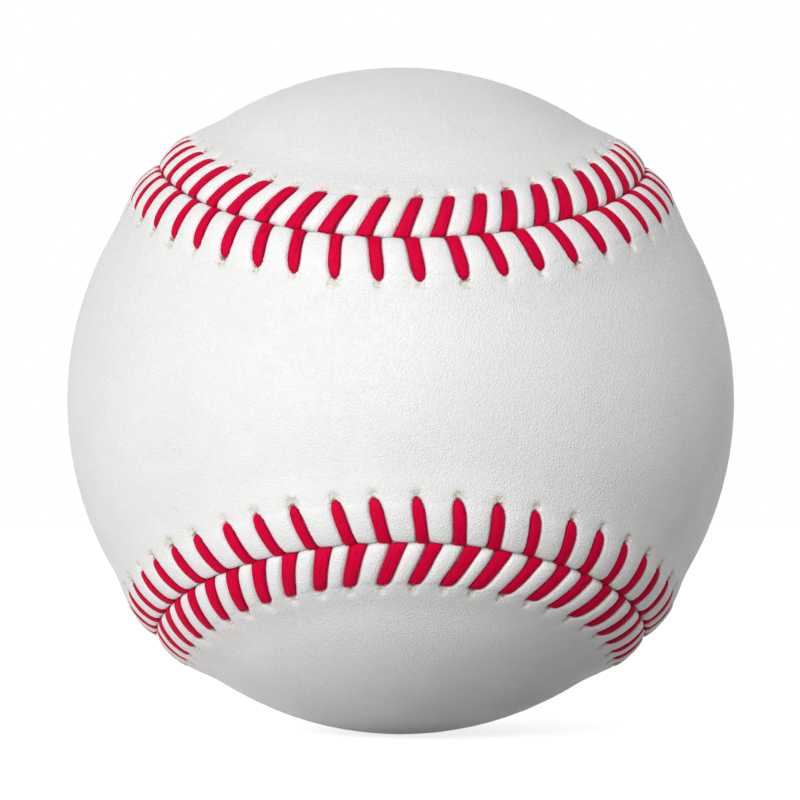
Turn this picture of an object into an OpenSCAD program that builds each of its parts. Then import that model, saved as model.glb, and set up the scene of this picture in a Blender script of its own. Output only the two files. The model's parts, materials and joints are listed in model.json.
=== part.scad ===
// Baseball: cork centre, rubber pill, four windings, two sewn leather panels.
// The origin is the centre of the ball. The waist of the front panel faces -Y
// and its two lobes reach round to +X and -X. The lobes of the back panel lie
// at the top and the bottom, and its waist faces +Y.

/* [Pill] */
// Diameter of the cork and rubber centre
core_d = 20.6; // [16:0.1:26]
// Wall of the black rubber half shells
shell_t = 4; // [2:0.1:6]
// Thickness of the washer between the half shells
washer_t = 0.8; // [0.4:0.1:2]
// Wall of the red rubber layer
red_layer_t = 2.2; // [1:0.1:4]

/* [Windings] */
// Thickness of the first winding, four-ply grey wool
first_winding_t = 14.2; // [8:0.1:18]
// Thickness of the second winding, three-ply white wool
second_winding_t = 1.6; // [1:0.1:3]
// Thickness of the third winding, three-ply grey wool
third_winding_t = 2.1; // [1:0.1:3]
// Thickness of the fourth winding, fine poly-cotton yarn
fourth_winding_t = 0.4; // [0.2:0.1:1]
// Clearance between one layer and the next
layer_gap = 0.15; // [0.1:0.05:0.3]

/* [Cover] */
// Thickness of the leather
leather_t = 1.2; // [0.9:0.05:1.6]
// Height of the puffs of leather above the ball
welt_rise = 1.1; // [0.8:0.05:1.4]
// Distance from the seam to the crest of the puffs
welt_crest = 2.5; // [2:0.05:2.8]
// Distance from the seam to the outer foot of the puffs
welt_foot = 7; // [6:0.1:7.5]
// Width of the groove between the two panels
groove_w = 0.3; // [0.2:0.05:0.6]

/* [Stitches] */
// Number of double stitches round the seam
stitch_count = 108; // [96:1:112]
// Width of the flat thread
thread_w = 1.45; // [1:0.05:1.7]
// Thickness of the flat thread
thread_t = 0.5; // [0.3:0.05:0.7]
// Height of the thread's middle line above the ball, at the crest
stitch_rise = 0.8; // [0.6:0.05:0.9]
// Height of the thread's top above the ball, at the visible end of a stitch
stitch_end_rise = 0.3; // [0.1:0.05:0.4]
// Distance from the seam to the visible end of a stitch
stitch_reach = 4.75; // [4.4:0.05:5]
// How far a stitch goes down into its hole
stitch_tail = 0.7; // [0.5:0.05:0.9]
// How far the stitches of the front panel trail at the groove
front_lean = 0.7; // [0:0.1:1.6]
// How far the stitches of the back panel trail at the groove
back_lean = 1.5; // [0:0.1:1.6]
// Clearance between a stitch and the leather round it
stitch_gap = 0.1; // [0.05:0.01:0.2]

/* [Hidden] */

// Shape of the seam: the share of its threefold wave sets how narrow the waists
// are, and the share of its fivefold wave how square the lobes are.
waist_share = 0.299;
lobe_share = 0.013;
// Place of the first stitch in its pitch, and how far the stitches drift from it
stitch_start_share = 0.514;
stitch_drift_share = 0.18;
// Edge flats of the thread's outline, as a share of its thickness
thread_edge_share = 0.3;

// Radii of the layers, from the inside out
core_r = core_d / 2;
shell_in_r = core_r + layer_gap;
shell_r = shell_in_r + shell_t;
red_in_r = shell_r + layer_gap;
red_r = red_in_r + red_layer_t;
first_in_r = red_r + layer_gap;
first_r = first_in_r + first_winding_t;
second_in_r = first_r + layer_gap;
second_r = second_in_r + second_winding_t;
third_in_r = second_r + layer_gap;
third_r = third_in_r + third_winding_t;
fourth_in_r = third_r + layer_gap;
fourth_r = fourth_in_r + fourth_winding_t;
leather_in_r = fourth_r + layer_gap;
ball_r = leather_in_r + leather_t;

// Sphere whose slice makes a puff of leather. The slices overlap, so that no end
// of one shows.
puff_half_w = welt_foot - welt_crest;
puff_r = (puff_half_w * puff_half_w + welt_rise * welt_rise) / (2 * welt_rise);
puff_depth = puff_r - welt_rise;
puff_slice_share = 1.7;

// Arc of a stitch: its top comes down from the crest to the visible end
stitch_drop = stitch_rise + thread_t / 2 - stitch_end_rise;
stitch_half_run = stitch_reach - welt_crest;
stitch_top_r = (stitch_half_run * stitch_half_run + stitch_drop * stitch_drop) / (2 * stitch_drop);
stitch_arc_r = stitch_top_r - thread_t / 2;
stitch_hole_angle = acos(1 - (stitch_rise + stitch_tail) / stitch_arc_r);
// Channel under a stitch: it runs on past both ends of its stitch, and is open
// to above from the seam to the mouth of the hole
channel_floor_r = stitch_arc_r - thread_t / 2 - stitch_gap;
channel_hole_angle = acos(1 - (stitch_rise + leather_t + thread_t) / stitch_arc_r);
channel_mouth_angle = asin(stitch_half_run / stitch_top_r);
channel_seam_angle = 50;

// Turns a sphere so that its poles lie aside of the puff cut from it
POLES_ASIDE = [90, 90, 0];

// Sides of the seam
FRONT = -1;
BACK = 1;

// How far past the side of the ball the centre of a lobe lies
lobe_angle = 20;
// Reach of the cone that cuts out a panel, as a share of the ball's radius
cut_reach_share = 1.7;

// Fineness of the seam's table, of the cut along it, which takes a multiple of
// twelve, and of the line from a waist to a lobe's centre
seam_steps = 720;
cut_steps = 108;
lobe_steps = cut_steps / 6;
turn_nudge = 0.01;
// Fineness of the round faces and of the channels
ball_fn = 96;
puff_fn = 32;
stitch_fn = 48;
floor_steps = 6;
roof_steps = 2;

// Vector of length one
function unit(v) = v / norm(v);

// Direction of the seam from the ball's centre, for a turn of 0 to 360 degrees
function seam_dir(turn) = unit([
    (1 - waist_share) * sin(turn) + waist_share * sin(3 * turn) + lobe_share * sin(5 * turn),
    -2 * sqrt(waist_share * (1 - waist_share)) * cos(2 * turn),
    (1 - waist_share) * cos(turn) - waist_share * cos(3 * turn) + lobe_share * cos(5 * turn)
]);
// Direction in which the seam runs
function along_dir(turn) = unit(seam_dir(turn + turn_nudge) - seam_dir(turn - turn_nudge));
// Direction across the seam, towards the back panel
function across_dir(turn) = cross(seam_dir(turn), along_dir(turn));
// Direction of the point that lies an angle aside of the seam
function aside_dir(turn, angle) = seam_dir(turn) * cos(angle) + across_dir(turn) * sin(angle);
// The same, across the ball's surface
function aside_across(turn, angle) = across_dir(turn) * cos(angle) - seam_dir(turn) * sin(angle);

// Length of the seam up to each turn, on a ball of radius one
seam_table = [
    for (i = 0, run = 0;
         i <= seam_steps;
         run = run + norm(seam_dir((i + 1) * 360 / seam_steps) - seam_dir(i * 360 / seam_steps)),
         i = i + 1)
    [run, i * 360 / seam_steps]
];
seam_length = seam_table[seam_steps][0] * ball_r;
pitch = seam_length / stitch_count;

// Turn at which the seam has run a length, which may pass its end
function turn_at(run) = lookup((run - floor(run / seam_length) * seam_length) / ball_r, seam_table);
// Angle at the ball's centre of a distance on its surface
function arc_angle(distance) = distance / ball_r * 180 / PI;

// Run of the seam at which stitch number k has its hole
function hole_run(k) = pitch
    * (k + stitch_start_share - stitch_drift_share * cos(360 * k / stitch_count));
function lean_of(side) = side == FRONT ? front_lean : back_lean;
function lean_angle(side) = atan(lean_of(side) / stitch_reach);
// Run of the seam at which a stitch crosses the crest
function crest_run(k, side) = hole_run(k) - lean_of(side) * (1 - welt_crest / stitch_reach);

// Puts its children on the ball at a run of the seam and a distance aside of it:
// Z points outwards and X away from the seam, turned by the lean of the stitches.
module on_ball(run, distance, side) {
    turn = turn_at(run);
    angle = side * arc_angle(distance);
    out = aside_dir(turn, angle);
    away = side * aside_across(turn, angle) * cos(lean_angle(side))
        + along_dir(turn) * sin(lean_angle(side));
    beside = cross(out, away);
    place = ball_r * out;
    multmatrix([
        [away.x, beside.x, out.x, place.x],
        [away.y, beside.y, out.y, place.y],
        [away.z, beside.z, out.z, place.z],
        [0, 0, 0, 1]
    ]) children();
}

// Outline of the flat thread, with its four edges cut off
function thread_outline() =
    let (x = thread_t / 2, y = thread_w / 2, edge = thread_t * thread_edge_share)
    [
        [-x, edge - y], [edge - x, -y], [x - edge, -y], [x, edge - y],
        [x, y - edge], [x - edge, y], [edge - x, y], [-x, y - edge]
    ];
function arc_point(radius, angle) = [radius * sin(angle), radius * cos(angle)];
// Side view of the channel that holds a stitch, from the middle of its arc
function channel_outline() =
    let (
        floor_step = (channel_seam_angle + channel_hole_angle) / floor_steps,
        roof_step = (channel_hole_angle - channel_mouth_angle) / roof_steps,
        roof_r = (stitch_top_r + stitch_gap) / cos(roof_step / 2),
        mouth = arc_point(roof_r, channel_mouth_angle),
        seam_end = arc_point(channel_floor_r, -channel_seam_angle)
    )
    concat(
        [for (i = [0 : floor_steps]) arc_point(channel_floor_r, floor_step * i - channel_seam_angle)],
        [for (i = [0 : roof_steps]) arc_point(roof_r, channel_hole_angle - roof_step * i)],
        [[mouth.x, stitch_top_r + welt_rise], [seam_end.x, stitch_top_r + welt_rise]]
    );

// A stitch stops short of the groove by as much as its lean swings its corner
function stitch_seam_angle(side) = asin(
    (welt_crest - groove_w / 2 - thread_w / 2 * sin(lean_angle(side))) / stitch_top_r);

module stitches(side) {
    for (k = [0 : stitch_count - 1])
        on_ball(crest_run(k, side), welt_crest, side)
            translate([0, 0, stitch_rise - stitch_arc_r])
                rotate([90, 0, 0])
                    rotate([0, 0, 90 - stitch_hole_angle])
                        rotate_extrude(angle = stitch_hole_angle + stitch_seam_angle(side), $fn = stitch_fn)
                            translate([stitch_arc_r, 0]) polygon(thread_outline());
}

module channels(side) {
    for (k = [0 : stitch_count - 1])
        on_ball(crest_run(k, side), welt_crest, side)
            translate([0, 0, stitch_rise - stitch_arc_r])
                rotate([90, 0, 0])
                    linear_extrude(thread_w + 2 * stitch_gap, center = true)
                        polygon(channel_outline());
}

// The leather swells between each stitch and the next
module puffs(side) {
    slice_w = pitch * puff_slice_share;
    for (k = [0 : stitch_count - 1])
        on_ball((crest_run(k, side) + crest_run(k + 1, side)) / 2, welt_crest, side)
            intersection() {
                translate([0, 0, -puff_depth])
                    rotate(POLES_ASIDE) sphere(r = puff_r, $fn = puff_fn);
                translate([-puff_r, -slice_w / 2, -leather_t])
                    cube([2 * puff_r, slice_w, leather_t + puff_r]);
            }
}

// Number of the point of a panel's middle line that lies beside step i of the
// seam, counted both ways from 0 at the waist
function middle_no(i, side) =
    let (
        step = side == FRONT ? i : (cut_steps / 4 - i + cut_steps) % cut_steps,
        half = step <= cut_steps / 2 ? step : step - cut_steps,
        near = min(abs(half), cut_steps / 2 - abs(half))
    )
    sign(half) * min(near, lobe_steps);
function middle_dir(number, side) =
    let (angle = (90 + lobe_angle) * number / lobe_steps)
    side == FRONT ? [sin(angle), -cos(angle), 0] : [0, cos(angle), sin(angle)];

// Everything on one side of the seam, as a cone from the ball's centre
module seam_side(side) {
    reach = ball_r * cut_reach_share;
    rim = [
        for (i = [0 : cut_steps - 1])
        reach * aside_dir(turn_at(seam_length * i / cut_steps), side * arc_angle(groove_w / 2))
    ];
    middle = [for (number = [-lobe_steps : lobe_steps]) reach * middle_dir(number, side)];
    first_middle = 1 + cut_steps + lobe_steps;
    quads = [
        for (i = [0 : cut_steps - 1])
        let (next = (i + 1) % cut_steps)
        [1 + i, 1 + next, first_middle + middle_no(next, side), first_middle + middle_no(i, side)]
    ];
    walls = [for (q = quads) side == FRONT ? [0, q[1], q[0]] : [0, q[0], q[1]]];
    rims = [for (q = quads) side == FRONT ? [q[0], q[1], q[2]] : [q[0], q[2], q[1]]];
    fills = [
        for (q = quads) if (q[2] != q[3])
        side == FRONT ? [q[0], q[2], q[3]] : [q[0], q[3], q[2]]
    ];
    polyhedron(points = concat([[0, 0, 0]], rim, middle), faces = concat(walls, rims, fills));
}

module panel(side) {
    difference() {
        intersection() {
            union() {
                sphere(r = ball_r, $fn = ball_fn);
                puffs(side);
            }
            seam_side(side);
        }
        sphere(r = leather_in_r, $fn = ball_fn);
        channels(side);
    }
}

module hollow_ball(inner_r, outer_r) {
    difference() {
        sphere(r = outer_r, $fn = ball_fn);
        sphere(r = inner_r, $fn = ball_fn);
    }
}

// Half shell whose rim stays clear of the washer
module half_shell() {
    rim = washer_t / 2 + layer_gap;
    difference() {
        intersection() {
            sphere(r = shell_r, $fn = ball_fn);
            translate([-shell_r, -shell_r, rim]) cube([2 * shell_r, 2 * shell_r, shell_r]);
        }
        sphere(r = shell_in_r, $fn = ball_fn);
    }
}

module cork_core() {
    color("tan") sphere(d = core_d, $fn = ball_fn);
}

module rubber_shell_upper() {
    color("dimgray") half_shell();
}

module rubber_shell_lower() {
    color("dimgray") mirror([0, 0, 1]) half_shell();
}

module rubber_washer() {
    color("firebrick") difference() {
        cylinder(r = shell_r, h = washer_t, center = true, $fn = ball_fn);
        cylinder(r = shell_in_r, h = 2 * washer_t, center = true, $fn = ball_fn);
    }
}

module red_rubber_layer() {
    color("indianred") hollow_ball(red_in_r, red_r);
}

module first_winding() {
    color("darkgray") hollow_ball(first_in_r, first_r);
}

module second_winding() {
    color("whitesmoke") hollow_ball(second_in_r, second_r);
}

module third_winding() {
    color("silver") hollow_ball(third_in_r, third_r);
}

module fourth_winding() {
    color("ivory") hollow_ball(fourth_in_r, fourth_r);
}

module front_panel() {
    color("white") panel(FRONT);
}

module back_panel() {
    color("snow") panel(BACK);
}

module front_stitches() {
    color("crimson") stitches(FRONT);
}

module back_stitches() {
    color("crimson") stitches(BACK);
}

cork_core();
rubber_shell_upper();
rubber_shell_lower();
rubber_washer();
red_rubber_layer();
first_winding();
second_winding();
third_winding();
fourth_winding();
front_panel();
back_panel();
front_stitches();
back_stitches();
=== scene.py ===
"""Looks of a sewn baseball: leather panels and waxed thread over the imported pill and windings."""
import json
import math

import bpy
import numpy as np
from bpy.props import FloatProperty, FloatVectorProperty, IntProperty, PointerProperty
from mathutils import Matrix, Vector


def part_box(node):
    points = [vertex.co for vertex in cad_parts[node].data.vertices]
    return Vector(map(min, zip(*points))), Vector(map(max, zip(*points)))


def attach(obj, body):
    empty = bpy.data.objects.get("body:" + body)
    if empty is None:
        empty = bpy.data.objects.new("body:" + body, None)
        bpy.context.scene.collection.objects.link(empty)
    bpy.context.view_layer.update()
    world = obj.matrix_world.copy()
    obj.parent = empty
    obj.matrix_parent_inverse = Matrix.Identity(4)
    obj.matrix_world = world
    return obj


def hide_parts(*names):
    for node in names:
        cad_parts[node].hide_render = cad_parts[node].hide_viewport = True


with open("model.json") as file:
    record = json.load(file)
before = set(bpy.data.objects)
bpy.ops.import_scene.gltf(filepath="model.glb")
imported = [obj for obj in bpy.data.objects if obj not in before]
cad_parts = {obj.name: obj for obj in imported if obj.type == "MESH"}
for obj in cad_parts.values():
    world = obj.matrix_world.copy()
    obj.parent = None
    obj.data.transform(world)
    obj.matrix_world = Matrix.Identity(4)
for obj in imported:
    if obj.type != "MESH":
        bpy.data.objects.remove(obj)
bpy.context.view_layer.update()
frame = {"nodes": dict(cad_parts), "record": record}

bl_info = {
    "name": "Sewn Baseball",
    "version": (1, 0, 0),
    "blender": (4, 5, 0),
    "location": "3D View > Sidebar > Sewn Baseball",
    "description": "Covers a wound ball with two leather panels and sews them together",
    "category": "Add Mesh",
}

MM = 0.001
FRONT = -1
BACK = 1
SIDE_NAMES = {FRONT: "front", BACK: "back"}

# The rest cup's radius is the ball's own, and the leather lies over the last winding.
BALL_RADIUS = frame["record"]["mounts"][0]["dims"]["r_mm"] * MM
LAYER_GAP = 0.15 * MM
LEATHER_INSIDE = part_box("fourth_winding")[1].z + LAYER_GAP


def length(description, default):
    """A length in metres that a user may change."""
    return FloatProperty(
        description=description,
        default=default,
        min=0.0,
        precision=5,
        unit="LENGTH",
        subtype="DISTANCE",
    )


def share(description, default):
    """A share of another size."""
    return FloatProperty(description=description, default=default, precision=3)


def angle(description, degrees):
    """An angle, given in degrees."""
    return FloatProperty(description=description, default=math.radians(degrees), subtype="ANGLE")


def colour(description, default):
    """A linear colour without alpha."""
    return FloatVectorProperty(
        description=description,
        default=default,
        size=3,
        min=0.0,
        max=1.0,
        subtype="COLOR",
    )


class SewnBallCover(bpy.types.PropertyGroup):
    """Sizes of the leather and of the seam between its two panels."""

    ball_radius: length("Radius over the bare leather", BALL_RADIUS)
    inside_radius: length("Radius of the leather's inner face", LEATHER_INSIDE)
    waist_share: share("Share of the threefold wave, which draws in the waists", 0.299)
    lobe_share: share("Share of the fivefold wave, which squares the lobes", 0.013)
    lobe_angle: angle("Angle from a panel's waist to its lobe's centre", 110)
    groove_width: length("Gap between the two panels", 0.07 * MM)
    edge_radius: length("Rounding of the leather's edge at the groove", 0.52 * MM)
    puff_rise: length("Height of the puffs of leather above the ball", 1.09 * MM)
    puff_crest: length("Distance from the seam to the crest of the puffs", 2.5 * MM)
    puff_foot: length("Distance from the seam to the outer foot of the puffs", 8.9 * MM)


class SewnBallThread(bpy.types.PropertyGroup):
    """Sizes of the thread and of its stitches."""

    stitch_count: IntProperty(description="Number of double stitches in all", default=108, min=12)
    width: length("Width of the flat thread", 1.42 * MM)
    thickness: length("Thickness of the flat thread", 0.5 * MM)
    rise: length("Height of the thread's middle line above the ball, at the crest", 0.75 * MM)
    end_rise: length("Height that the thread's arc would have at its end", 0.55 * MM)
    bend_radius: length("Bend of the thread's middle line into its hole", 0.45 * MM)
    roll_radius: length("Bend of the thread over the leather's edge", 1.1 * MM)
    roll_slope: angle("Slope of the thread where it goes down into the groove", 48)
    reach: length("Distance from the seam to the visible end of a stitch", 4.8 * MM)
    front_lean: length("How far the front stitches trail at the groove", 0.75 * MM)
    back_lean: length("How far the back stitches trail at the groove", 2.1 * MM)
    back_lead: length("How far the back panel's holes lie ahead", 0.18 * MM)
    start_share: share("Place of the first stitch in its pitch", 0.53)
    drift_share: share("How far the stitches drift from an even pitch", 0.2)
    stretch: length("How far the stitches spread out beside the first one", 1.2 * MM)
    hand_spread: length("Usual error of a stitch sewn by hand", 0.11 * MM)


class SewnBallColours(bpy.types.PropertyGroup):
    """Colours of the ball's materials."""

    leather: colour("Smooth white leather", (0.87, 0.87, 0.865))
    leather_shade: colour("Darker patches of the leather", (0.84, 0.84, 0.838))
    # Painted light: the puffs' lighter colour stands in for the light that the raised puffs catch
    puff: colour("Leather drawn up beside the seam", (0.89, 0.89, 0.885))
    raw_leather: colour("Torn leather", (0.5, 0.44, 0.35))
    fibre: colour("Pale fibres of torn and cut leather", (0.88, 0.85, 0.78))
    # Painted shade: the dark colour put inside each stitch hole
    hole: colour("Inside of a stitch hole", (0.09, 0.06, 0.045))
    thread: colour("Waxed thread", (0.73, 0.0, 0.042))
    # Painted shade at the thread's sides and in the hollows between its fibres
    thread_shade: colour("Hollows and sides of the thread", (0.3, 0.0, 0.026))
    cork: colour("Cork grains", (0.44, 0.26, 0.13))
    cork_dark: colour("Rubber between the cork grains", (0.1, 0.055, 0.03))
    black_rubber: colour("Moulded half shells", (0.022, 0.022, 0.024))
    red_rubber: colour("Washer and outer layer of the pill", (0.36, 0.03, 0.022))
    grey_wool: colour("First and third windings", (0.2, 0.2, 0.21))
    white_wool: colour("Second winding", (0.7, 0.67, 0.6))
    fine_yarn: colour("Fourth winding, poly-cotton", (0.8, 0.77, 0.7))


class SewnBallStudio(bpy.types.PropertyGroup):
    """Sizes and levels of the studio."""

    key_power: FloatProperty(
        description="Power of the large soft lamp at the left front",
        default=9.3,
        min=0.0,
        unit="POWER",
    )
    key_size: length("Diameter of the soft lamp", 0.75)
    key_distance: length("Distance from the ball to the soft lamp", 1.2)
    fill_level: share("Level of the light from all round", 0.36)
    floor_size: length("Side of the floor", 6.0)
    floor_colour: colour("Pale floor", (0.85, 0.85, 0.86))
    bounce_colour: colour("Tone of the floor's light on the ball", (1.0, 1.0, 1.0))
    floor_glow: share("Level that whitens the floor in the picture", 0.78)


def unit(vectors):
    """The same directions with length one."""
    return vectors / np.linalg.norm(vectors, axis=-1, keepdims=True)


def smooth_step(value):
    """Rises from 0 to 1 without corners."""
    value = np.clip(value, 0.0, 1.0)
    return value * value * (3 - 2 * value)


class Seam:
    """The line between the panels, and points placed by their run along it."""

    STEPS = 1440
    NUDGE = 1e-4

    def __init__(self, cover):
        self.cover = cover
        self.turns = np.linspace(0, 2 * math.pi, self.STEPS + 1)
        points = self.direction(self.turns) * cover.ball_radius
        steps = np.linalg.norm(np.diff(points, axis=0), axis=1)
        self.runs = np.concatenate([[0.0], np.cumsum(steps)])
        self.length = self.runs[-1]

    def direction(self, turn):
        """Direction of the seam from the ball's centre, for a turn of one circle in all."""
        waist = self.cover.waist_share
        lobe = self.cover.lobe_share
        across = (1 - waist) * np.sin(turn) + waist * np.sin(3 * turn) + lobe * np.sin(5 * turn)
        depth = -2 * math.sqrt(waist * (1 - waist)) * np.cos(2 * turn)
        height = (1 - waist) * np.cos(turn) - waist * np.cos(3 * turn) + lobe * np.cos(5 * turn)
        return unit(np.stack([across, depth, height], axis=-1))

    def place(self, run, distance, height):
        """Points at a run along the seam, a distance towards the back panel and a height."""
        turn = np.interp(np.mod(run, self.length), self.runs, self.turns)
        out = self.direction(turn)
        along = unit(self.direction(turn + self.NUDGE) - self.direction(turn - self.NUDGE))
        towards_back = np.cross(out, along)
        angle = (distance / self.cover.ball_radius)[..., None]
        outwards = out * np.cos(angle) + towards_back * np.sin(angle)
        return outwards * (self.cover.ball_radius + height)[..., None]


class Stitching:
    """Places of one panel's stitches along the seam, with the small errors of hand sewing."""

    SEEDS = {FRONT: 11, BACK: 23}
    SIDE_WIDTHS = {FRONT: 0.86, BACK: 1.05}
    SIDE_STRETCHES = {FRONT: 1.0, BACK: 1.4}
    TAPERS = {FRONT: 0.48, BACK: 0.2}
    TAPER_LENGTH = 1.6 * MM
    TAPER_POWER = 2.2
    FLARE = 0.1
    FLARE_LENGTH = 1.6 * MM
    OVERRUN = 0.05 * MM
    WIDTH_SPREAD = 0.05
    PUFF_SPREAD = 0.1

    def __init__(self, cover, thread, side):
        self.cover = cover
        self.thread = thread
        self.seam = Seam(cover)
        self.side = side
        lean = thread.front_lean if side == FRONT else thread.back_lean
        self.lean_angle = math.atan(lean / thread.reach)
        count = thread.stitch_count
        number = np.arange(count)
        hand = np.random.default_rng(self.SEEDS[side])
        pitch = self.seam.length / count
        turn = 2 * math.pi * number / count
        even_runs = pitch * (number + thread.start_share - thread.drift_share * np.cos(turn))
        spread_out = thread.stretch * self.SIDE_STRETCHES[side] * np.sin(turn) * (1 + np.cos(turn)) / 2
        lead = thread.back_lead if side == BACK else 0.0
        self.hole_runs = even_runs + spread_out + lead + hand.normal(0, thread.hand_spread, count)
        self.leans = lean + hand.normal(0, thread.hand_spread, count)
        self.widths = self.SIDE_WIDTHS[side] * (1 + hand.normal(0, self.WIDTH_SPREAD, count))
        self.swells = 1 - self.PUFF_SPREAD * hand.random(count)
        self.tears = hand.random(count)
        drop = thread.rise + thread.thickness / 2 - thread.end_rise
        half_run = thread.reach - cover.puff_crest
        top_radius = (half_run**2 + drop**2) / (2 * drop)
        self.arc_radius = top_radius - thread.thickness / 2
        self.crest = cover.puff_crest
        to_bend = half_run - thread.bend_radius - thread.thickness / 2
        self.bend_angle = math.asin(to_bend / (self.arc_radius - thread.bend_radius))
        to_roll = self.crest + self.OVERRUN
        to_roll = to_roll - (thread.roll_radius + thread.thickness / 2) * math.sin(thread.roll_slope)
        self.roll_angle = math.asin(to_roll / (self.arc_radius - thread.roll_radius))

    def run_at(self, number, distance):
        """Run of the seam at which a stitch's middle line lies, at a distance from the seam."""
        count = self.thread.stitch_count
        laps = number // count
        which = number % count
        back = 1 - np.minimum(distance, self.thread.reach) / self.thread.reach
        return self.hole_runs[which] - self.leans[which] * back + laps * self.seam.length

    def taper(self, distance):
        """Share of its width that the thread has at a distance from the seam."""
        way = np.clip(1 + (distance - self.thread.reach) / self.TAPER_LENGTH, 0, 1)
        flare = self.FLARE * (1 - smooth_step(distance / self.FLARE_LENGTH))
        return 1 + flare - self.TAPERS[self.side] * way**self.TAPER_POWER

    def underside(self, distance):
        """Height of the thread's lower face above the ball."""
        half = self.thread.thickness / 2
        radius = self.arc_radius - half
        aside = np.minimum(np.abs(distance - self.crest), radius)
        arc = np.sqrt(radius**2 - aside**2) - self.arc_radius + self.thread.rise
        inner = self.arc_radius - self.thread.roll_radius
        rolled = self.thread.roll_radius - half
        from_roll = self.crest - inner * math.sin(self.roll_angle) - distance
        base = inner * math.cos(self.roll_angle) - self.arc_radius + self.thread.rise
        roll = base + np.sqrt(rolled**2 - np.clip(from_roll, 0, rolled) ** 2)
        return np.where(from_roll > rolled * math.sin(self.roll_angle), roll, arc)


class LeatherRows:
    """Rows of a panel's grid, from the middle of its inner face round its edge to its outer one."""

    # Columns between one stitch and the next, closest at the sides of the thread
    PHASES = np.array([0, 0.05, 0.1, 0.15, 0.19, 0.225, 0.29, 0.39])
    PHASES = np.concatenate([PHASES, [0.5], 1 - PHASES[:0:-1]])
    SKIN_SHARES = (0.4, 0.75)
    ROUNDING_SHARES = np.array([0, 0.12, 0.35, 0.7])
    ROUNDING_GAP = 0.14 * MM
    PUFF_END = 4.1 * MM
    PUFF_ROWS = 16
    HOLE_START = 4.22 * MM
    HOLE_END = 5.3 * MM
    HOLE_ROWS = 10
    TEAR_END = 5.5 * MM
    # Distances from the seam in millimetres, and how many columns meet in one point there
    FOOT = ((5.8, 2), (6.2, 2), (6.7, 2), (7.3, 4), (8.0, 4), (8.7, 4))
    FIELD_EDGE = 9.4 * MM
    FIELD_POOL = 8
    FIELD_SHARES = (0.05, 0.12, 0.2, 0.3, 0.4, 0.5, 0.6, 0.7, 0.8, 0.9, 1.0)

    def __init__(self, cover):
        half_groove = cover.groove_width / 2
        rounding = half_groove + cover.edge_radius * self.ROUNDING_SHARES
        puff = np.linspace(rounding[-1] + self.ROUNDING_GAP, self.PUFF_END, self.PUFF_ROWS)
        holes = np.linspace(self.HOLE_START, self.HOLE_END, self.HOLE_ROWS)
        strip = np.concatenate([rounding, puff, holes, [self.TEAR_END]])
        pool = self.FIELD_POOL
        rows = [(self.FIELD_EDGE, part, 0.0, pool) for part in self.FIELD_SHARES[::-2]]
        rows += [(self.FIELD_EDGE, 0.0, 0.0, pool), (half_groove, 0.0, 0.0, 1)]
        rows += [(half_groove, 0.0, skin, 1) for skin in self.SKIN_SHARES]
        rows += [(distance, 0.0, 1.0, 1) for distance in strip]
        rows += [(distance * MM, 0.0, 1.0, columns) for distance, columns in self.FOOT]
        rows += [(self.FIELD_EDGE, part, 1.0, pool) for part in (0.0, *self.FIELD_SHARES)]
        self.distance, self.field, self.skin, self.pool = (np.array(part) for part in zip(*rows))
        self.count = len(rows)


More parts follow.
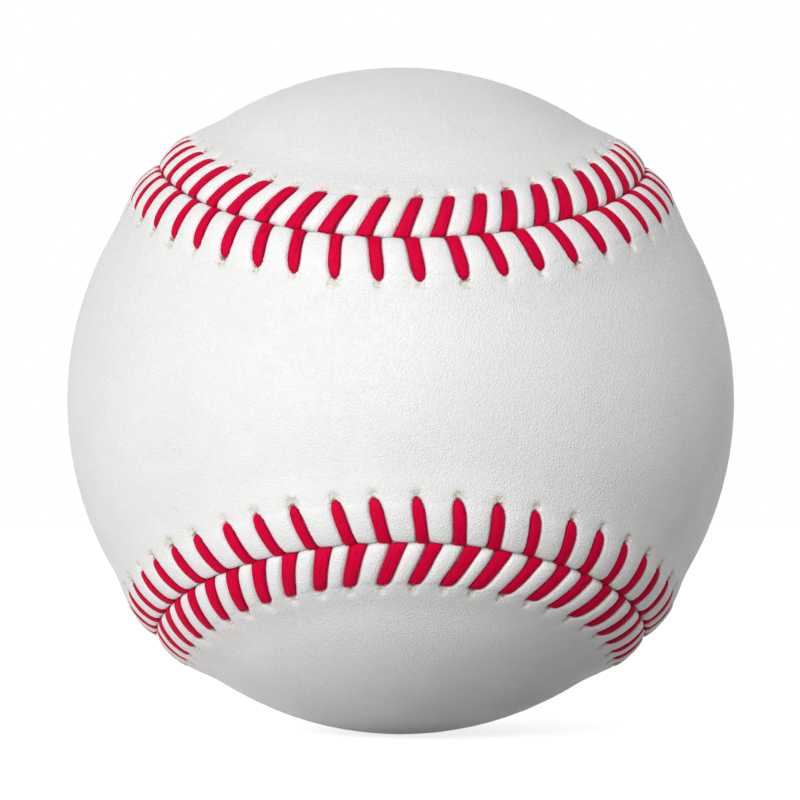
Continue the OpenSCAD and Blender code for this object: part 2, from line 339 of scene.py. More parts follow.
class LeatherShape:
    """Heights of the leather beside the seam: puffs between the stitches, channels under them."""

    SHOULDER_DROP = 0.2
    SHOULDER_FADE = 1.6 * MM
    GROOVE_DROP = 0.3
    GROOVE_FADE = 1.1 * MM
    CHANNEL_WALL = 0.2 * MM
    THREAD_SINK = 0.05 * MM
    HOLE_DEPTH = 0.5 * MM
    HOLE_GAP = 0.05 * MM
    HOLE_PAST_REACH = 0.12 * MM
    HOLE_POWERS = {FRONT: 2.0, BACK: 3.0}
    CREASE_DEPTH = 0.06 * MM
    CREASE_BEFORE_REACH = 0.3 * MM
    CREASE_WIDTH = 0.2 * MM
    INNER_SPAN = 1.45
    RIDGE_RISE = 0.12 * MM
    RIDGE_EDGE = 3.7 * MM
    RIDGE_FADE = 1.3 * MM
    TEAR_DEPTH = 0.34 * MM
    TEAR_PAST_REACH = 0.45 * MM
    TEAR_HALF_LENGTH = 0.55 * MM
    TEAR_HALF_WIDTH = 0.5 * MM
    TEAR_FLOOR = 0.35
    TEAR_WALL = 0.8
    TEAR_LEAST = 0.45
    TEAR_SPREAD = 0.55

    def __init__(self, stitching):
        self.cover = stitching.cover
        self.thread = stitching.thread
        self.stitching = stitching

    def crown(self, distance):
        """Height of the puffs midway between two stitches."""
        crest = self.cover.puff_crest
        outwards = (distance - crest) / (self.cover.puff_foot - crest)
        inwards = (crest - distance) / (self.INNER_SPAN * crest)
        outer = (1 + np.cos(math.pi * np.clip(outwards, 0, 1))) / 2
        inner = 1 - np.clip(inwards, 0, 1) ** 2
        ridge = self.RIDGE_RISE * (1 - smooth_step((distance - self.RIDGE_EDGE) / self.RIDGE_FADE))
        swelling = (self.cover.puff_rise - self.RIDGE_RISE) * np.where(distance > crest, outer, inner)
        return swelling + ridge

    def edge_drop(self, distance):
        """How much the rounded edge at the groove takes away."""
        radius = self.cover.edge_radius
        inside = np.clip(1 - (distance - self.cover.groove_width / 2) / radius, 0, 1)
        return radius * (1 - np.sqrt(1 - inside**2))

    def height(self, distance, aside, half_gap, half_width, swell, tear):
        """Height above the ball at a distance from the seam and aside of the nearest stitch."""
        rest = np.clip((aside - half_width) / (half_gap - half_width), 0, 1)
        reach = self.thread.reach
        pressed = self.SHOULDER_DROP * (1 - smooth_step((distance - reach) / self.SHOULDER_FADE))
        pressed = pressed + self.GROOVE_DROP * (1 - smooth_step(distance / self.GROOVE_FADE))
        crease = np.exp(-((distance - reach + self.CREASE_BEFORE_REACH) / self.CREASE_WIDTH) ** 2)
        puff = self.crown(distance) * swell * (1 - pressed * (1 - rest) ** 2)
        puff = puff - self.edge_drop(distance) - self.CREASE_DEPTH * crease * rest
        channel = half_width * self.stitching.taper(distance) + self.HOLE_GAP
        along = (distance - reach - self.TEAR_PAST_REACH) / self.TEAR_HALF_LENGTH
        torn = np.hypot(along, aside / self.TEAR_HALF_WIDTH)
        depth = self.TEAR_DEPTH * (self.TEAR_LEAST + self.TEAR_SPREAD * tear)
        puff = puff - depth * (1 - smooth_step((torn - self.TEAR_FLOOR) / self.TEAR_WALL))
        past = np.maximum(distance - reach - self.HOLE_PAST_REACH + channel, 0)
        power = self.HOLE_POWERS[self.stitching.side]
        outside = (aside**power + past**power) ** (1 / power) - channel
        wall = smooth_step(outside / self.CHANNEL_WALL + 0.5)
        under_thread = self.stitching.underside(distance) - self.THREAD_SINK
        floor = np.minimum(np.maximum(under_thread, puff - self.HOLE_DEPTH), puff)
        return floor + (puff - floor) * wall


# A panel's middle line reaches a lobe's centre beside a sixth of the seam, counted from its waist
LOBE_RATE = 6


def middle_direction(position, side, lobe_angle):
    """Direction of the point of a panel's middle line beside a place of 0 to 1 round the seam."""
    from_waist = position if side == FRONT else 0.25 - position
    half = np.mod(from_waist + 0.5, 1.0) - 0.5
    near = np.minimum(np.abs(half), 0.5 - np.abs(half))
    angle = lobe_angle * np.sign(half) * np.minimum(near * LOBE_RATE, 1.0)
    zero = np.zeros_like(angle)
    if side == FRONT:
        return np.stack([np.sin(angle), -np.cos(angle), zero], axis=-1)
    return np.stack([zero, np.cos(angle), np.sin(angle)], axis=-1)


def between(start, end, part):
    """Directions on the way from one to another round the ball."""
    angle = np.arccos(np.clip(np.sum(start * end, axis=-1, keepdims=True), -1, 1))
    part = part[..., None]
    scale = np.maximum(np.sin(angle), 1e-9)
    return unit(np.sin((1 - part) * angle) / scale * start + np.sin(part * angle) / scale * end)


# Millimetres from the edge of a panel's bare field to its middle, as the pattern counts them
FIELD_WIDTH = 20


def panel_points(stitching, rows, row, column):
    """Points of a panel's grid, with their places in stitches and millimetres for the pattern."""
    cover = stitching.cover
    stitch_count = stitching.thread.stitch_count
    per_stitch = len(rows.PHASES)
    pool = rows.pool[row]
    column = column // pool * pool
    number = column // per_stitch
    phase = rows.PHASES[column % per_stitch]
    distance = rows.distance[row]
    here = stitching.run_at(number, distance)
    there = stitching.run_at(number + 1, distance)
    run = here + (there - here) * phase
    nearest = np.where(phase > 0.5, number + 1, number) % stitch_count
    straight = math.cos(stitching.lean_angle)
    height = LeatherShape(stitching).height(
        distance,
        np.minimum(phase, 1 - phase) * (there - here) * straight,
        (there - here) / 2 * straight,
        stitching.thread.width / 2 * stitching.widths[nearest],
        stitching.swells[number % stitch_count],
        stitching.tears[nearest],
    )
    skin = rows.skin[row]
    inside = cover.inside_radius - cover.ball_radius
    height = inside + (height - inside) * skin
    height = np.where(rows.field[row] > 0, np.where(skin > 0, 0.0, inside), height)
    points = stitching.seam.place(run, stitching.side * distance, height)
    position = column / (per_stitch * stitch_count)
    middle = middle_direction(position, stitching.side, cover.lobe_angle)
    radius = np.linalg.norm(points, axis=-1, keepdims=True)
    points = between(points / radius, middle, rows.field[row]) * radius
    # The back panel's pattern runs two laps ahead, so that its marks differ from the front's
    lead = 2 * stitch_count if stitching.side == BACK else 0
    pattern_x = number + phase + lead
    pattern_y = distance / MM + rows.field[row] * FIELD_WIDTH - (1 - skin)
    return points, np.stack([pattern_x, pattern_y], axis=-1)


def select_only(piece):
    """Makes one piece the only selected one, and active."""
    bpy.ops.object.select_all(action="DESELECT")
    piece.select_set(True)
    bpy.context.view_layer.objects.active = piece


def edit(piece, work):
    """Does some work in edit mode, on all of a piece."""
    select_only(piece)
    bpy.ops.object.mode_set(mode="EDIT")
    bpy.ops.mesh.select_all(action="SELECT")
    work()
    bpy.ops.object.mode_set(mode="OBJECT")


def face_outwards():
    """Turns all faces of closed pieces outwards."""
    bpy.ops.mesh.select_all(action="SELECT")
    bpy.ops.mesh.normals_make_consistent(inside=False)


def close_up():
    """Merges the doubles of a closed piece and turns its faces outwards."""
    bpy.ops.mesh.remove_doubles(threshold=0.001 * MM)
    face_outwards()


def points_of(mesh):
    """A mesh's points as an array."""
    points = np.empty(len(mesh.vertices) * 3)
    mesh.vertices.foreach_get("co", points)
    return points.reshape(-1, 3)


def set_points(mesh, points):
    """Moves a mesh's points."""
    mesh.vertices.foreach_set("co", points.ravel())
    mesh.update()


def set_pattern(mesh, name, places):
    """Gives a mesh a map of its own, from one place for each of its points."""
    corners = np.empty(len(mesh.loops), dtype=np.int64)
    mesh.loops.foreach_get("vertex_index", corners)
    layer = mesh.uv_layers.new(name=name)
    layer.data.foreach_set("uv", places[corners].ravel())


def stitching_of(side):
    """One panel's stitching, in the sizes that the scene has."""
    scene = bpy.context.scene
    return Stitching(scene.sewn_ball_cover, scene.sewn_ball_thread, side)


def complete(piece, name, work):
    """Names a piece, does its last work in edit mode and smooths its shading."""
    piece.name = name
    piece.data.name = name
    edit(piece, work)
    bpy.ops.object.shade_smooth()
    return piece


def make_leather_panel(side):
    """One panel: a grid that is laid along the seam, folded round its edge and closed."""
    stitching = stitching_of(side)
    rows = LeatherRows(stitching.cover)
    columns = len(rows.PHASES) * stitching.thread.stitch_count
    bpy.ops.object.select_all(action="DESELECT")
    bpy.ops.mesh.primitive_grid_add(
        x_subdivisions=columns,
        y_subdivisions=rows.count - 1,
        size=2,
        calc_uvs=False,
    )
    panel = bpy.context.object
    flat = points_of(panel.data)
    column = np.rint((flat[:, 0] + 1) / 2 * columns).astype(int)
    row = np.rint((flat[:, 1] + 1) / 2 * (rows.count - 1)).astype(int)
    points, pattern = panel_points(stitching, rows, row, column)
    set_points(panel.data, points)
    set_pattern(panel.data, "seam_place", pattern)
    return complete(panel, f"leather_{SIDE_NAMES[side]}_panel", close_up)


def make_stitch(stitching):
    """One stitch, modelled once: a flat outline spun along its arc and down into its hole.

    Y runs away from the seam.
    """
    flatness = 0.62
    thread = stitching.thread
    radius = stitching.arc_radius
    slope = thread.roll_slope
    roll_angle = stitching.roll_angle
    bend_angle = stitching.bend_angle

    def leaning(angle):
        """Direction at an angle from straight up, away from the seam."""
        return Vector((0, math.sin(angle), math.cos(angle)))

    centre = Vector((0, stitching.crest, thread.rise - radius))
    roll_centre = centre + (radius - thread.roll_radius) * leaning(-roll_angle)
    start = roll_centre + thread.roll_radius * leaning(-slope)
    bend_centre = centre + (radius - thread.bend_radius) * leaning(bend_angle)
    bpy.ops.object.select_all(action="DESELECT")
    bpy.ops.mesh.primitive_circle_add(
        vertices=12,
        radius=1,
        fill_type="NGON",
        calc_uvs=False,
        location=start,
        rotation=(math.pi / 2 + slope, 0, 0),
    )
    stitch = bpy.context.object
    outline = points_of(stitch.data)
    set_points(stitch.data, np.sign(outline) * np.abs(outline) ** flatness)
    stitch.scale = (thread.width / 2, thread.thickness / 2, 1)
    bpy.ops.object.transform_apply(location=True, rotation=True, scale=True)

    def shape():
        spins = (
            (3, slope - roll_angle, roll_centre),
            (6, roll_angle + bend_angle, centre),
            (4, math.pi / 2 - bend_angle, bend_centre),
        )
        for steps, angle, middle in spins:
            bpy.ops.mesh.spin(steps=steps, angle=angle, center=middle, axis=(1, 0, 0))
        bpy.ops.mesh.select_all(action="SELECT")
        close_up()

    edit(stitch, shape)
    return stitch


def lay_stitch(stitching, flat, number):
    """Points of one stitch on the ball, drawn in towards its hole, its ends laid along the seam."""
    aside = flat[:, 0] * stitching.widths[number] * stitching.taper(flat[:, 1])
    square = 1.2 * MM
    from_hole = stitching.thread.reach - flat[:, 1]
    swing = smooth_step(flat[:, 1] / square) * smooth_step(from_hole / square)
    lean = stitching.lean_angle
    distance = flat[:, 1] - aside * math.sin(lean) * swing
    which = np.full(len(flat), number)
    widening = math.sin(lean) * math.tan(lean) * (1 - swing)
    run = stitching.run_at(which, flat[:, 1]) + aside * (math.cos(lean) + widening)
    return stitching.seam.place(run, stitching.side * distance, flat[:, 2])


# Millimetres by which the fibres of each stitch are shifted from the last one's
FIBRE_SHIFT = 7.3


def make_stitches(side):
    """All stitches of one panel, each a copy with its own mesh, joined into one piece."""
    stitching = stitching_of(side)
    thread = stitching.thread
    model = make_stitch(stitching)
    flat = points_of(model.data)
    copies = []
    for number in range(thread.stitch_count):
        stitch = model.copy()
        stitch.data = model.data.copy()
        bpy.context.scene.collection.objects.link(stitch)
        set_points(stitch.data, lay_stitch(stitching, flat, number))
        along = flat[:, 1] / MM + number * FIBRE_SHIFT
        across = flat[:, 0] / (thread.width / 2)
        set_pattern(stitch.data, "thread_run", np.stack([across, along], axis=-1))
        copies.append(stitch)
    bpy.data.objects.remove(model)
    select_only(copies[0])
    for stitch in copies:
        stitch.select_set(True)
    bpy.ops.object.join()
    return complete(bpy.context.object, f"thread_{SIDE_NAMES[side]}_stitches", face_outwards)


class Nodes:
    """Adds shader nodes to a tree and links them."""

    def __init__(self, tree):
        self.tree = tree

    def feed(self, socket, value):
        """Links an output to a socket, or sets the socket's own value."""
        if isinstance(value, bpy.types.NodeSocket):
            self.tree.links.new(value, socket)
        elif socket.type == "RGBA" and len(value) == 3:
            socket.default_value = (*value, 1.0)
        else:
            socket.default_value = value

    def add(self, kind, inputs=None, **settings):
        """A node with its settings, and its inputs by name or place."""
        node = self.tree.nodes.new(f"ShaderNode{kind}")
        for name, value in settings.items():
            setattr(node, name, value)
        for place, value in (inputs or {}).items():
            self.feed(node.inputs[place], value)
        return node

    def math(self, operation, *values):
        """The result of one sum."""
        return self.add("Math", dict(enumerate(values)), operation=operation).outputs[0]

    def times(self, first, *others):
        """The product of some values."""
        for other in others:
            first = self.math("MULTIPLY", first, other)
        return first

    def distance(self, across, away):
        """Distance from a middle, by how far a place lies across and away."""
        squares = self.math("MULTIPLY_ADD", across, across, self.times(away, away))
        return self.math("SQRT", squares)

    def vector(self, operation, *values):
        """The result of one vector sum."""
        return self.add("VectorMath", dict(enumerate(values)), operation=operation).outputs[0]

    def parts(self, vector):
        """The three parts of a vector."""
        return self.add("SeparateXYZ", {"Vector": vector}).outputs

    def red(self, colour_value):
        """The red part of a colour."""
        return self.add("SeparateColor", {"Color": colour_value}).outputs["Red"]

    def mix(self, factor, first, second):
        """A mix of two colours."""
        node = self.add("Mix", data_type="RGBA")
        sockets = {socket.identifier: socket for socket in node.inputs}
        self.feed(sockets["Factor_Float"], factor)
        self.feed(sockets["A_Color"], first)
        self.feed(sockets["B_Color"], second)
        return next(socket for socket in node.outputs if socket.identifier == "Result_Color")

    def ease(self, value, low, high, start=0.0, end=1.0):
        """A smooth step from one value to another."""
        inputs = {"Value": value, "From Min": low, "From Max": high, "To Min": start, "To Max": end}
        return self.add("MapRange", inputs, interpolation_type="SMOOTHSTEP").outputs[0]

    def noise(self, vector, scale, detail, roughness=0.5):
        """Soft noise from 0 to 1."""
        inputs = {"Vector": vector, "Scale": scale, "Detail": detail, "Roughness": roughness}
        return self.add("TexNoise", inputs).outputs["Fac"]

    def shaken(self, vector, scale, reach):
        """A place, shifted about by noise within a reach."""
        wobble = self.add("TexNoise", {"Vector": vector, "Scale": scale}).outputs["Color"]
        return self.vector("ADD", vector, self.vector("MULTIPLY", wobble, reach))

    def chance(self, value):
        """A random number from 0 to 1 for each whole step of a value."""
        step = self.math("FLOOR", value)
        return self.add("TexWhiteNoise", {"W": step}, noise_dimensions="1D").outputs["Value"]

    def cells(self, vector, scale, feature="F1", output="Distance"):
        """Distance to, or colour of, the cells of a Voronoi pattern."""
        node = self.add("TexVoronoi", {"Vector": vector, "Scale": scale}, feature=feature)
        return node.outputs[output]

    def seen(self):
        """1 where the camera sees a surface, straight or by mirror or glass, and else 0."""
        path = self.add("LightPath").outputs
        straight = self.math("MAXIMUM", path["Is Camera Ray"], path["Is Glossy Ray"])
        return self.math("MAXIMUM", straight, path["Is Transmission Ray"])


class Group(Nodes):
    """A node group for more than one material, from a place and some sizes to some values."""

    def __init__(self, name, sizes, results):
        super().__init__(bpy.data.node_groups.new(name, "ShaderNodeTree"))
        sockets = [("Vector", "INPUT", "NodeSocketVector")]
        sockets += [(label, "INPUT", "NodeSocketFloat") for label in sizes]
        sockets += [(label, "OUTPUT", "NodeSocketFloat") for label in results]
        for label, direction, kind in sockets:
            self.tree.interface.new_socket(label, in_out=direction, socket_type=kind)
        self.given = self.tree.nodes.new("NodeGroupInput").outputs
        self.results = self.tree.nodes.new("NodeGroupOutput").inputs

    def give(self, **results):
        """Feeds the group's results and returns its tree."""
        for label, value in results.items():
            self.feed(self.results[label], value)
        return self.tree


def shared(name):
    """Lets a function build its node group once, and gives the same group from then on."""

    def keep(build):
        return lambda: bpy.data.node_groups.get(name) or build(name)

    return keep


@shared("mottle")
def mottle_group(name):
    """Slow, uneven patches of colour and gloss."""
    group = Group(name, ["Patch"], ["Factor"])
    scale = group.math("DIVIDE", 1.0, group.given["Patch"])
    broad = group.noise(group.given["Vector"], scale, 4.0, 0.6)
    return group.give(Factor=group.ease(broad, 0.3, 0.7))


@shared("pebble_grain")
def grain_group(name):
    """Fine pebbles of leather or of a moulding, with their height in metres."""
    group = Group(name, ["Pebble", "Depth"], ["Height", "Crease"])
    vector = group.given["Vector"]
    size = group.given["Pebble"]
    scale = group.math("DIVIDE", 1.0, size)
    place = group.shaken(vector, scale, group.times(size, 0.9))
    pebble = group.ease(group.cells(place, scale, "DISTANCE_TO_EDGE"), 0.0, 0.35)
    uneven = group.noise(vector, group.times(scale, 0.45), 3.0)
    uneven = group.math("MULTIPLY_ADD", uneven, 0.8, 0.3)
    height = group.times(pebble, uneven, group.given["Depth"])
    return group.give(Height=height, Crease=group.math("SUBTRACT", 1.0, pebble))


@shared("specks")
def specks_group(name):
    """A few small specks, as a mask."""
    group = Group(name, ["Spacing", "Share", "Radius"], ["Mask"])
    spacing = group.given["Spacing"]
    radius = group.given["Radius"]
    scale = group.math("DIVIDE", 1.0, spacing)
    blur = group.times(scale, 9.0)
    place = group.shaken(group.given["Vector"], blur, group.times(radius, 1.4))
    cell = group.add("TexVoronoi", {"Vector": place, "Scale": scale}).outputs
    chosen = group.math("LESS_THAN", group.red(cell["Color"]), group.given["Share"])
    near = group.math("DIVIDE", group.times(cell["Distance"], spacing), radius)
    spot = group.ease(near, 0.6, 1.1, 1.0, 0.0)
    return group.give(Mask=group.times(chosen, spot))


@shared("wound_yarn")
def wound_yarn_group(name):
    """Yarn wound round a ball in three crossing directions."""
    group = Group(name, ["Yarn"], ["Height", "Strand", "Hollow"])
    vector = group.given["Vector"]
    yarn = group.given["Yarn"]
    heights = []
    strands = []
    for turn in ((0.3, 0.2, 0.0), (1.2, -0.5, 0.4), (-0.6, 1.1, 0.9)):
        turned = group.add("Mapping", {"Vector": vector, "Rotation": turn}).outputs[0]
        bend = group.noise(turned, group.math("DIVIDE", 0.12, yarn), 1.0)
        parts = group.parts(turned)
        straight = group.math("DIVIDE", parts["Z"], yarn)
        lane = group.math("MULTIPLY_ADD", bend, 3.0, straight)
        inside = group.math("PINGPONG", lane, 0.5)
        along = group.math("ADD", parts["X"], parts["Y"])
        ply = group.math("SINE", group.math("DIVIDE", along, yarn))
        round_top = group.math("SQRT", group.times(inside, 2.0))
        heights.append(group.math("MULTIPLY_ADD", ply, 0.06, round_top))
        strands.append(group.chance(lane))
    patch = group.noise(vector, group.math("DIVIDE", 0.09, yarn), 1.0)
    first = group.ease(patch, 0.43, 0.45)
    second = group.ease(patch, 0.55, 0.57)

    def layered(values):
        """The value of the direction that lies on top."""
        lower = group.mix(first, values[0], values[1])
        return group.red(group.mix(second, lower, values[2]))

    top = layered(heights)
    # Painted shade in the hollows between the strands
    hollow_shade = group.ease(top, 0.2, 0.75, 1.0, 0.0)
    return group.give(Height=group.times(yarn, 0.35, top), Strand=layered(strands), Hollow=hollow_shade)


class Finish(Nodes):
    """A material for one kind of surface, with its own shader."""

    def __init__(self, name, **sockets):
        self.material = bpy.data.materials.new(name)
        self.material.use_nodes = True
        super().__init__(self.material.node_tree)
        self.shader = self.tree.nodes["Principled BSDF"]
        for label, value in sockets.items():
            self.feed(self.shader.inputs[label.replace("_", " ")], value)
        self.place = self.add("TexCoord").outputs["Object"]

    def group(self, tree, **inputs):
        """The outputs of a group placed in this material."""
        return self.add("Group", {"Vector": self.place, **inputs}, node_tree=tree).outputs

    def skin(self, colour_value, roughness, height):
        """Feeds what changes over the surface: its colour, gloss and relief in metres."""
        self.feed(self.shader.inputs["Base Color"], colour_value)
        self.feed(self.shader.inputs["Roughness"], roughness)
        bump = self.add("Bump", {"Strength": 1.0, "Distance": 1.0, "Height": height})
        self.feed(self.shader.inputs["Normal"], bump.outputs["Normal"])
        return self.material


def darker(value, factor):
    """A colour made darker."""
    return tuple(part * factor for part in value)


def leather_finish(colours, thread, pitch):
    """White leather with fine pebbles, torn stitch holes and raw cut edges."""
    finish = Finish("white_leather", Specular_IOR_Level=0.4)
    parts = finish.parts(finish.add("UVMap", uv_map="seam_place").outputs["UV"])
    patch = finish.group(mottle_group(), Patch=11 * MM)["Factor"]
    grain = finish.group(grain_group(), Pebble=0.36 * MM, Depth=0.05 * MM)
    specks = finish.group(specks_group(), Spacing=6 * MM, Share=0.15, Radius=0.09 * MM)["Mask"]

    # Millimetres aside of the nearest stitch, and how unevenly its hole is torn
    turned = finish.math("ADD", parts["X"], 0.5)
    lane = finish.math("SUBTRACT", finish.math("FRACT", turned), 0.5)
    aside = finish.times(lane, pitch / MM)
    tear = finish.noise(finish.place, 1 / (0.35 * MM), 3.0, 0.6)
    tear = finish.math("SUBTRACT", tear, 0.5)
    uneven = finish.math("MULTIPLY_ADD", finish.chance(turned), 0.9, -0.3)
    uneven = finish.math("MULTIPLY_ADD", tear, 2.2, uneven)

    def spot(half_width, half_length, past_reach):
        """Distance from the middle of a torn spot beyond each stitch, with its rim at 1."""
        across = finish.math("DIVIDE", aside, half_width)
        away = finish.math("SUBTRACT", parts["Y"], thread.reach / MM + past_reach)
        away = finish.math("DIVIDE", away, half_length)
        return finish.math("ADD", finish.distance(across, away), uneven)

    hole = spot(half_width=0.4, half_length=0.22, past_reach=0.1)
    rag = spot(half_width=0.55, half_length=0.62, past_reach=0.45)
    # Painted shade: a dark mark inside each stitch hole, just past the thread's end
    hole_shade = finish.ease(hole, 0.3, 1.0, 0.65, 0.0)
    torn = finish.ease(rag, 0.5, 1.3, 0.9, 0.0)
    raw = finish.ease(parts["Y"], -0.3, -0.05, 1.0, 0.0)
    # Painted light: a lighter colour on the puffs beside the seam, for the light that the raised puffs
    # catch
    puff_light = finish.ease(parts["Y"], 3.4, 5.8, 1.0, 0.0)

    white = finish.mix(patch, colours.leather_shade, colours.leather)
    white = finish.mix(puff_light, white, colours.puff)
    # Painted shade in the creases between the pebbles
    crease = finish.times(grain["Crease"], 0.1)
    crease_shaded = finish.mix(crease, white, darker(colours.leather_shade, 0.8))
    speck = finish.times(specks, 0.5)
    spotted = finish.mix(speck, crease_shaded, darker(colours.leather_shade, 0.35))
    fibre = finish.ease(finish.noise(finish.place, 1 / (0.22 * MM), 3.0, 0.7), 0.34, 0.58)
    hide = finish.mix(fibre, colours.raw_leather, colours.fibre)
    edged = finish.mix(raw, finish.mix(torn, spotted, hide), colours.fibre)
    base = finish.mix(hole_shade, edged, colours.hole)

    roughness = finish.ease(patch, 0.0, 1.0, 0.56, 0.47)
    roughness = finish.math("MAXIMUM", roughness, finish.times(torn, 0.9))

    wrinkle = finish.noise(finish.place, 1 / (1.3 * MM), 4.0, 0.55)
    near_seam = finish.ease(parts["Y"], 4.6, 7.0, 1.0, 0.15)
    wrinkle = finish.times(wrinkle, near_seam, 0.07 * MM)
    ragged = finish.times(tear, torn, 0.15 * MM)
    height = finish.math("ADD", finish.math("ADD", grain["Height"], wrinkle), ragged)
    return finish.skin(base, roughness, height)


def thread_finish(colours):
    """Waxed crimson thread of many fibres laid side by side."""
    finish = Finish("waxed_thread", Specular_IOR_Level=0.06)
    run = finish.add("UVMap", uv_map="thread_run").outputs["UV"]
    stretched = finish.add("Mapping", {"Vector": run, "Scale": (0.7, 0.16, 1.0)}).outputs[0]
    fibre = finish.noise(stretched, 7.0, 3.0, 0.6)
    strand = finish.noise(stretched, 2.6, 1.0)
    patch = finish.group(mottle_group(), Patch=1.6 * MM)["Factor"]
    both = finish.math("MULTIPLY_ADD", fibre, 0.6, finish.times(strand, 0.4))
    # Painted shade: the thread darkens towards its sides and in the hollows between its fibres
    across = finish.math("ABSOLUTE", finish.parts(run)["X"])
    side = finish.ease(across, 0.55, 1.0, 1.0, 0.35)
    bright = finish.times(finish.ease(both, 0.28, 0.52), side)
    tone = finish.mix(bright, colours.thread_shade, colours.thread)
    base = finish.mix(finish.times(patch, 0.25), tone, darker(colours.thread, 0.78))
    roughness = finish.ease(fibre, 0.3, 0.7, 0.75, 0.6)
    coarse = finish.times(strand, 0.06 * MM)
    relief = finish.math("MULTIPLY_ADD", fibre, 0.03 * MM, coarse)
    return finish.skin(base, roughness, relief)


def cork_finish(colours):
    """Cork grains bound with dark rubber."""
    finish = Finish("cork_grains", Specular_IOR_Level=0.2)
    scale = 1 / (1.4 * MM)
    tone = finish.red(finish.cells(finish.place, scale, output="Color"))
    edge = finish.cells(finish.place, scale, "DISTANCE_TO_EDGE")
    fine = finish.noise(finish.place, 1 / (0.3 * MM), 4.0, 0.7)
    light = finish.mix(tone, darker(colours.cork, 0.55), colours.cork)
    pitted = finish.mix(finish.ease(fine, 0.55, 0.75), light, colours.cork_dark)
    joint = finish.ease(edge, 0.0, 0.09, 1.0, 0.0)
    base = finish.mix(joint, pitted, colours.cork_dark)
    grains = finish.times(finish.math("SUBTRACT", 1.0, joint), 0.08 * MM)
    height = finish.math("MULTIPLY_ADD", fine, 0.06 * MM, grains)
    return finish.skin(base, finish.ease(fine, 0.3, 0.7, 0.8, 0.95), height)


def rubber_finish(name, tone):
    """Moulded rubber, dusted with a little bloom."""
    finish = Finish(name, Specular_IOR_Level=0.45)
    patch = finish.group(mottle_group(), Patch=7 * MM)["Factor"]
    grain = finish.group(grain_group(), Pebble=0.7 * MM, Depth=0.012 * MM)
    specks = finish.group(specks_group(), Spacing=2.2 * MM, Share=0.3, Radius=0.09 * MM)["Mask"]
    bloom = finish.mix(0.12, tone, (0.6, 0.6, 0.58))
    dusty = finish.mix(patch, tone, bloom)
    base = finish.mix(finish.times(specks, 0.5), dusty, (0.5, 0.49, 0.46))
    return finish.skin(base, finish.ease(patch, 0.0, 1.0, 0.5, 0.72), grain["Height"])


def yarn_finish(name, tone, yarn):
    """Wound yarn, with lighter and darker strands and fuzz between them."""
    finish = Finish(name, Specular_IOR_Level=0.2)
    wound = finish.group(wound_yarn_group(), Yarn=yarn)
    fuzz = finish.noise(finish.place, 3.2 / yarn, 4.0, 0.7)
    strand = finish.mix(wound["Strand"], darker(tone, 0.74), tone)
    fuzzy = finish.mix(finish.ease(fuzz, 0.4, 0.7), strand, darker(tone, 0.85))
    # Painted shade: darker in the hollows between the strands
    base = finish.mix(wound["Hollow"], fuzzy, darker(tone, 0.35))
    height = finish.math("MULTIPLY_ADD", fuzz, 0.08 * yarn, wound["Height"])
    return finish.skin(base, finish.ease(fuzz, 0.2, 0.8, 0.8, 0.95), height)


def dress(node, material):
    """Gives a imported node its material."""
    piece = frame["nodes"].get(node)
    if piece is None:
        raise RuntimeError(f"the packed ball has no node named {node}")
    if not piece.material_slots:
        piece.data.materials.append(material)
    for slot in piece.material_slots:
        slot.material = material


def stand_for(piece, node, material):
    """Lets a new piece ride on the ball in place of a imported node."""
    piece.data.materials.clear()
    piece.data.materials.append(material)
    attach(piece, "root")
    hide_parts(node)


class SEWNBALL_OT_pill(bpy.types.Operator):
    """Finish the cork centre, the rubber half shells, their washer and the red layer"""

    bl_idname = "sewn_ball.pill"
    bl_label = "Finish Pill"

    def execute(self, context):
        colours = context.scene.sewn_ball_colours
        black = rubber_finish("black_rubber", colours.black_rubber)
        red = rubber_finish("red_rubber", colours.red_rubber)
        dress("cork_core", cork_finish(colours))
        for node in ("rubber_shell_upper", "rubber_shell_lower"):
            dress(node, black)
        for node in ("rubber_washer", "red_rubber_layer"):
            dress(node, red)
        return {"FINISHED"}


class SEWNBALL_OT_windings(bpy.types.Operator):
    """Finish the four windings of yarn"""

    bl_idname = "sewn_ball.windings"
    bl_label = "Finish Windings"

    def execute(self, context):
        colours = context.scene.sewn_ball_colours
        four_ply = 1.6 * MM
        three_ply = 1.2 * MM
        fine = 0.4 * MM
        dress("first_winding", yarn_finish("grey_wool_four_ply", colours.grey_wool, four_ply))
        dress("second_winding", yarn_finish("white_wool_three_ply", colours.white_wool, three_ply))
        dress("third_winding", yarn_finish("grey_wool_three_ply", colours.grey_wool, three_ply))
        dress("fourth_winding", yarn_finish("poly_cotton_yarn", colours.fine_yarn, fine))
        return {"FINISHED"}


class SEWNBALL_OT_leather_panels(bpy.types.Operator):
    """Cover the ball with its two leather panels"""

    bl_idname = "sewn_ball.leather_panels"
    bl_label = "Add Leather Panels"

    def execute(self, context):
        scene = context.scene
        pitch = Seam(scene.sewn_ball_cover).length / scene.sewn_ball_thread.stitch_count
        leather = leather_finish(scene.sewn_ball_colours, scene.sewn_ball_thread, pitch)
        for side, name in SIDE_NAMES.items():
            stand_for(make_leather_panel(side), f"{name}_panel", leather)
        return {"FINISHED"}


class SEWNBALL_OT_stitches(bpy.types.Operator):
    """Sew the panels together with waxed thread"""

    bl_idname = "sewn_ball.stitches"
    bl_label = "Add Stitches"

    def execute(self, context):
        waxed = thread_finish(context.scene.sewn_ball_colours)
        for side, name in SIDE_NAMES.items():
            stand_for(make_stitches(side), f"{name}_stitches", waxed)
        return {"FINISHED"}


# The place of the shadow painted into the floor's colour for bounced light, its radius, the radius
# where the floor is fully lit, and its light
SHADE_PLACE = (57 * MM, -10 * MM, 0.0)
SHADE_RADIUS = 40 * MM
LIT_RADIUS = 100 * MM
SHADE_LEVEL = 0.3


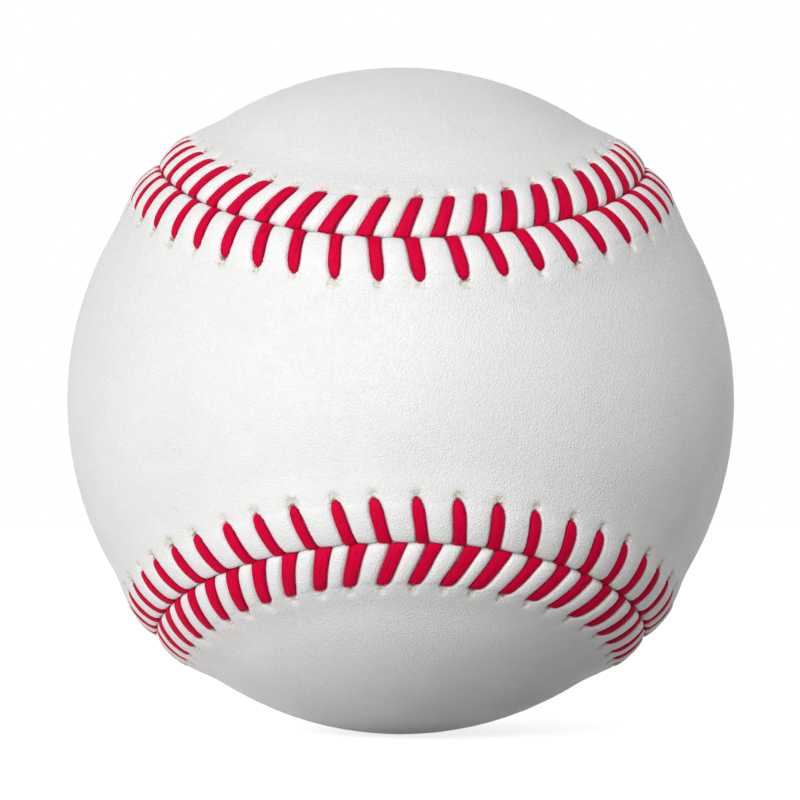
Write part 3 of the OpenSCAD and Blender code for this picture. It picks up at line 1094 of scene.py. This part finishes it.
def add_floor(studio, height):
    """A pale floor that looks white where the lamps reach it and keeps the ball's shadow."""
    bpy.ops.object.select_all(action="DESELECT")
    bpy.ops.mesh.primitive_plane_add(size=studio.floor_size, location=(0, 0, height))
    floor = bpy.context.object
    floor.name = "floor"
    bpy.ops.object.transform_apply(location=True)
    finish = Finish("pale_floor", Specular_IOR_Level=0.0, Roughness=0.9)
    seen = finish.seen()
    # Painted shadow: the colour that the floor throws up as light is darker where the ball shades it,
    # round a place to the right of its foot
    from_shade = finish.parts(finish.vector("SUBTRACT", finish.place, SHADE_PLACE))
    away = finish.distance(from_shade["Y"], from_shade["X"])
    lit = finish.ease(away, SHADE_RADIUS, LIT_RADIUS, SHADE_LEVEL, 1.0)
    bounce = finish.mix(lit, (0.0, 0.0, 0.0), studio.bounce_colour)
    tone = finish.mix(seen, bounce, studio.floor_colour)
    finish.feed(finish.shader.inputs["Base Color"], tone)
    level = finish.times(seen, studio.floor_glow)
    glow = finish.add("Emission", {"Color": (1, 1, 1), "Strength": level})
    both = finish.add("AddShader", {0: finish.shader.outputs[0], 1: glow.outputs[0]})
    finish.feed(finish.tree.nodes["Material Output"].inputs["Surface"], both.outputs[0])
    floor.data.materials.append(finish.material)


def stand(name, data, place, facing):
    """Stands a lamp or a camera in its place."""
    piece = bpy.data.objects.new(name, data)
    piece.location = place
    piece.rotation_mode = "QUATERNION"
    piece.rotation_quaternion = facing
    bpy.context.scene.collection.objects.link(piece)
    return piece


def light_studio(studio):
    """One large soft lamp, and even light from all round behind a white background."""
    data = bpy.data.lights.new("key_lamp", "AREA")
    data.shape = "DISK"
    data.size = studio.key_size
    data.energy = studio.key_power
    towards_lamp = Vector((-0.36, -0.86, 0.37)).normalized()
    facing = (-towards_lamp).to_track_quat("-Z", "Y")
    stand("key_lamp", data, towards_lamp * studio.key_distance, facing)

    world = bpy.data.worlds.new("studio")
    world.use_nodes = True
    bpy.context.scene.world = world
    nodes = Nodes(world.node_tree)
    fill = nodes.add("Background", {"Color": (1, 1, 1), "Strength": studio.fill_level})
    white = nodes.add("Background", {"Color": (1, 1, 1), "Strength": 1.0})
    mixed = nodes.add("MixShader", {0: nodes.seen(), 1: fill.outputs[0], 2: white.outputs[0]})
    nodes.feed(world.node_tree.nodes["World Output"].inputs["Surface"], mixed.outputs[0])


def place_camera(ball_radius):
    """A camera in front of the ball and a little below it, as the photograph was taken."""
    tip = math.radians(-1.895)
    turn = math.radians(0.85)
    roll = math.radians(-0.218)
    radii_away = 9.312
    sensor_mm = 36
    lens_mm = 138.9
    picture_px = 800
    ball_x_px = 400.7
    ball_y_px = 400.9
    upright = Matrix(((1, 0, 0), (0, 0, -1), (0, 1, 0)))
    turned = Matrix.Rotation(roll, 3, "Z") @ Matrix.Rotation(turn, 3, "Y")
    facing = upright @ (turned @ Matrix.Rotation(tip, 3, "X")).transposed()
    data = bpy.data.cameras.new("camera")
    data.sensor_width = sensor_mm
    data.lens = lens_mm
    data.shift_x = (picture_px / 2 - ball_x_px) / picture_px
    data.shift_y = (ball_y_px - picture_px / 2) / picture_px
    data.clip_start = 0.01
    place = facing.col[2] * (radii_away * ball_radius)
    bpy.context.scene.camera = stand("camera", data, place, facing.to_quaternion())


class SEWNBALL_OT_studio(bpy.types.Operator):
    """Set up the floor, the light, the background and the camera"""

    bl_idname = "sewn_ball.studio"
    bl_label = "Set Up Studio"

    def execute(self, context):
        studio = context.scene.sewn_ball_studio
        ball_radius = context.scene.sewn_ball_cover.ball_radius
        add_floor(studio, -ball_radius)
        light_studio(studio)
        place_camera(ball_radius)
        context.scene.view_settings.view_transform = "Standard"
        return {"FINISHED"}


class SEWNBALL_PT_pieces(bpy.types.Panel):
    """Sizes and pieces of the ball"""

    bl_label = "Sewn Baseball"
    bl_space_type = "VIEW_3D"
    bl_region_type = "UI"
    bl_category = "Sewn Baseball"

    def draw(self, context):
        for group in SETTINGS:
            box = self.layout.box()
            values = getattr(context.scene, group)
            for name in values.bl_rna.properties.keys():
                if name not in ("rna_type", "name"):
                    box.prop(values, name, text=name.replace("_", " ").title())
        for operator in OPERATORS:
            self.layout.operator(operator.bl_idname)


SETTINGS = {
    "sewn_ball_cover": SewnBallCover,
    "sewn_ball_thread": SewnBallThread,
    "sewn_ball_colours": SewnBallColours,
    "sewn_ball_studio": SewnBallStudio,
}
OPERATORS = (
    SEWNBALL_OT_pill,
    SEWNBALL_OT_windings,
    SEWNBALL_OT_leather_panels,
    SEWNBALL_OT_stitches,
    SEWNBALL_OT_studio,
)


def register():
    for group, kind in SETTINGS.items():
        bpy.utils.register_class(kind)
        setattr(bpy.types.Scene, group, PointerProperty(type=kind))
    for operator in OPERATORS:
        bpy.utils.register_class(operator)
    bpy.utils.register_class(SEWNBALL_PT_pieces)


def unregister():
    bpy.utils.unregister_class(SEWNBALL_PT_pieces)
    for operator in reversed(OPERATORS):
        bpy.utils.unregister_class(operator)
    for group, kind in reversed(SETTINGS.items()):
        delattr(bpy.types.Scene, group)
        bpy.utils.unregister_class(kind)


def main():
    register()
    bpy.ops.sewn_ball.pill()
    bpy.ops.sewn_ball.windings()
    bpy.ops.sewn_ball.leather_panels()
    bpy.ops.sewn_ball.stitches()
    bpy.ops.sewn_ball.studio()


if __name__ == "__main__":
    main()
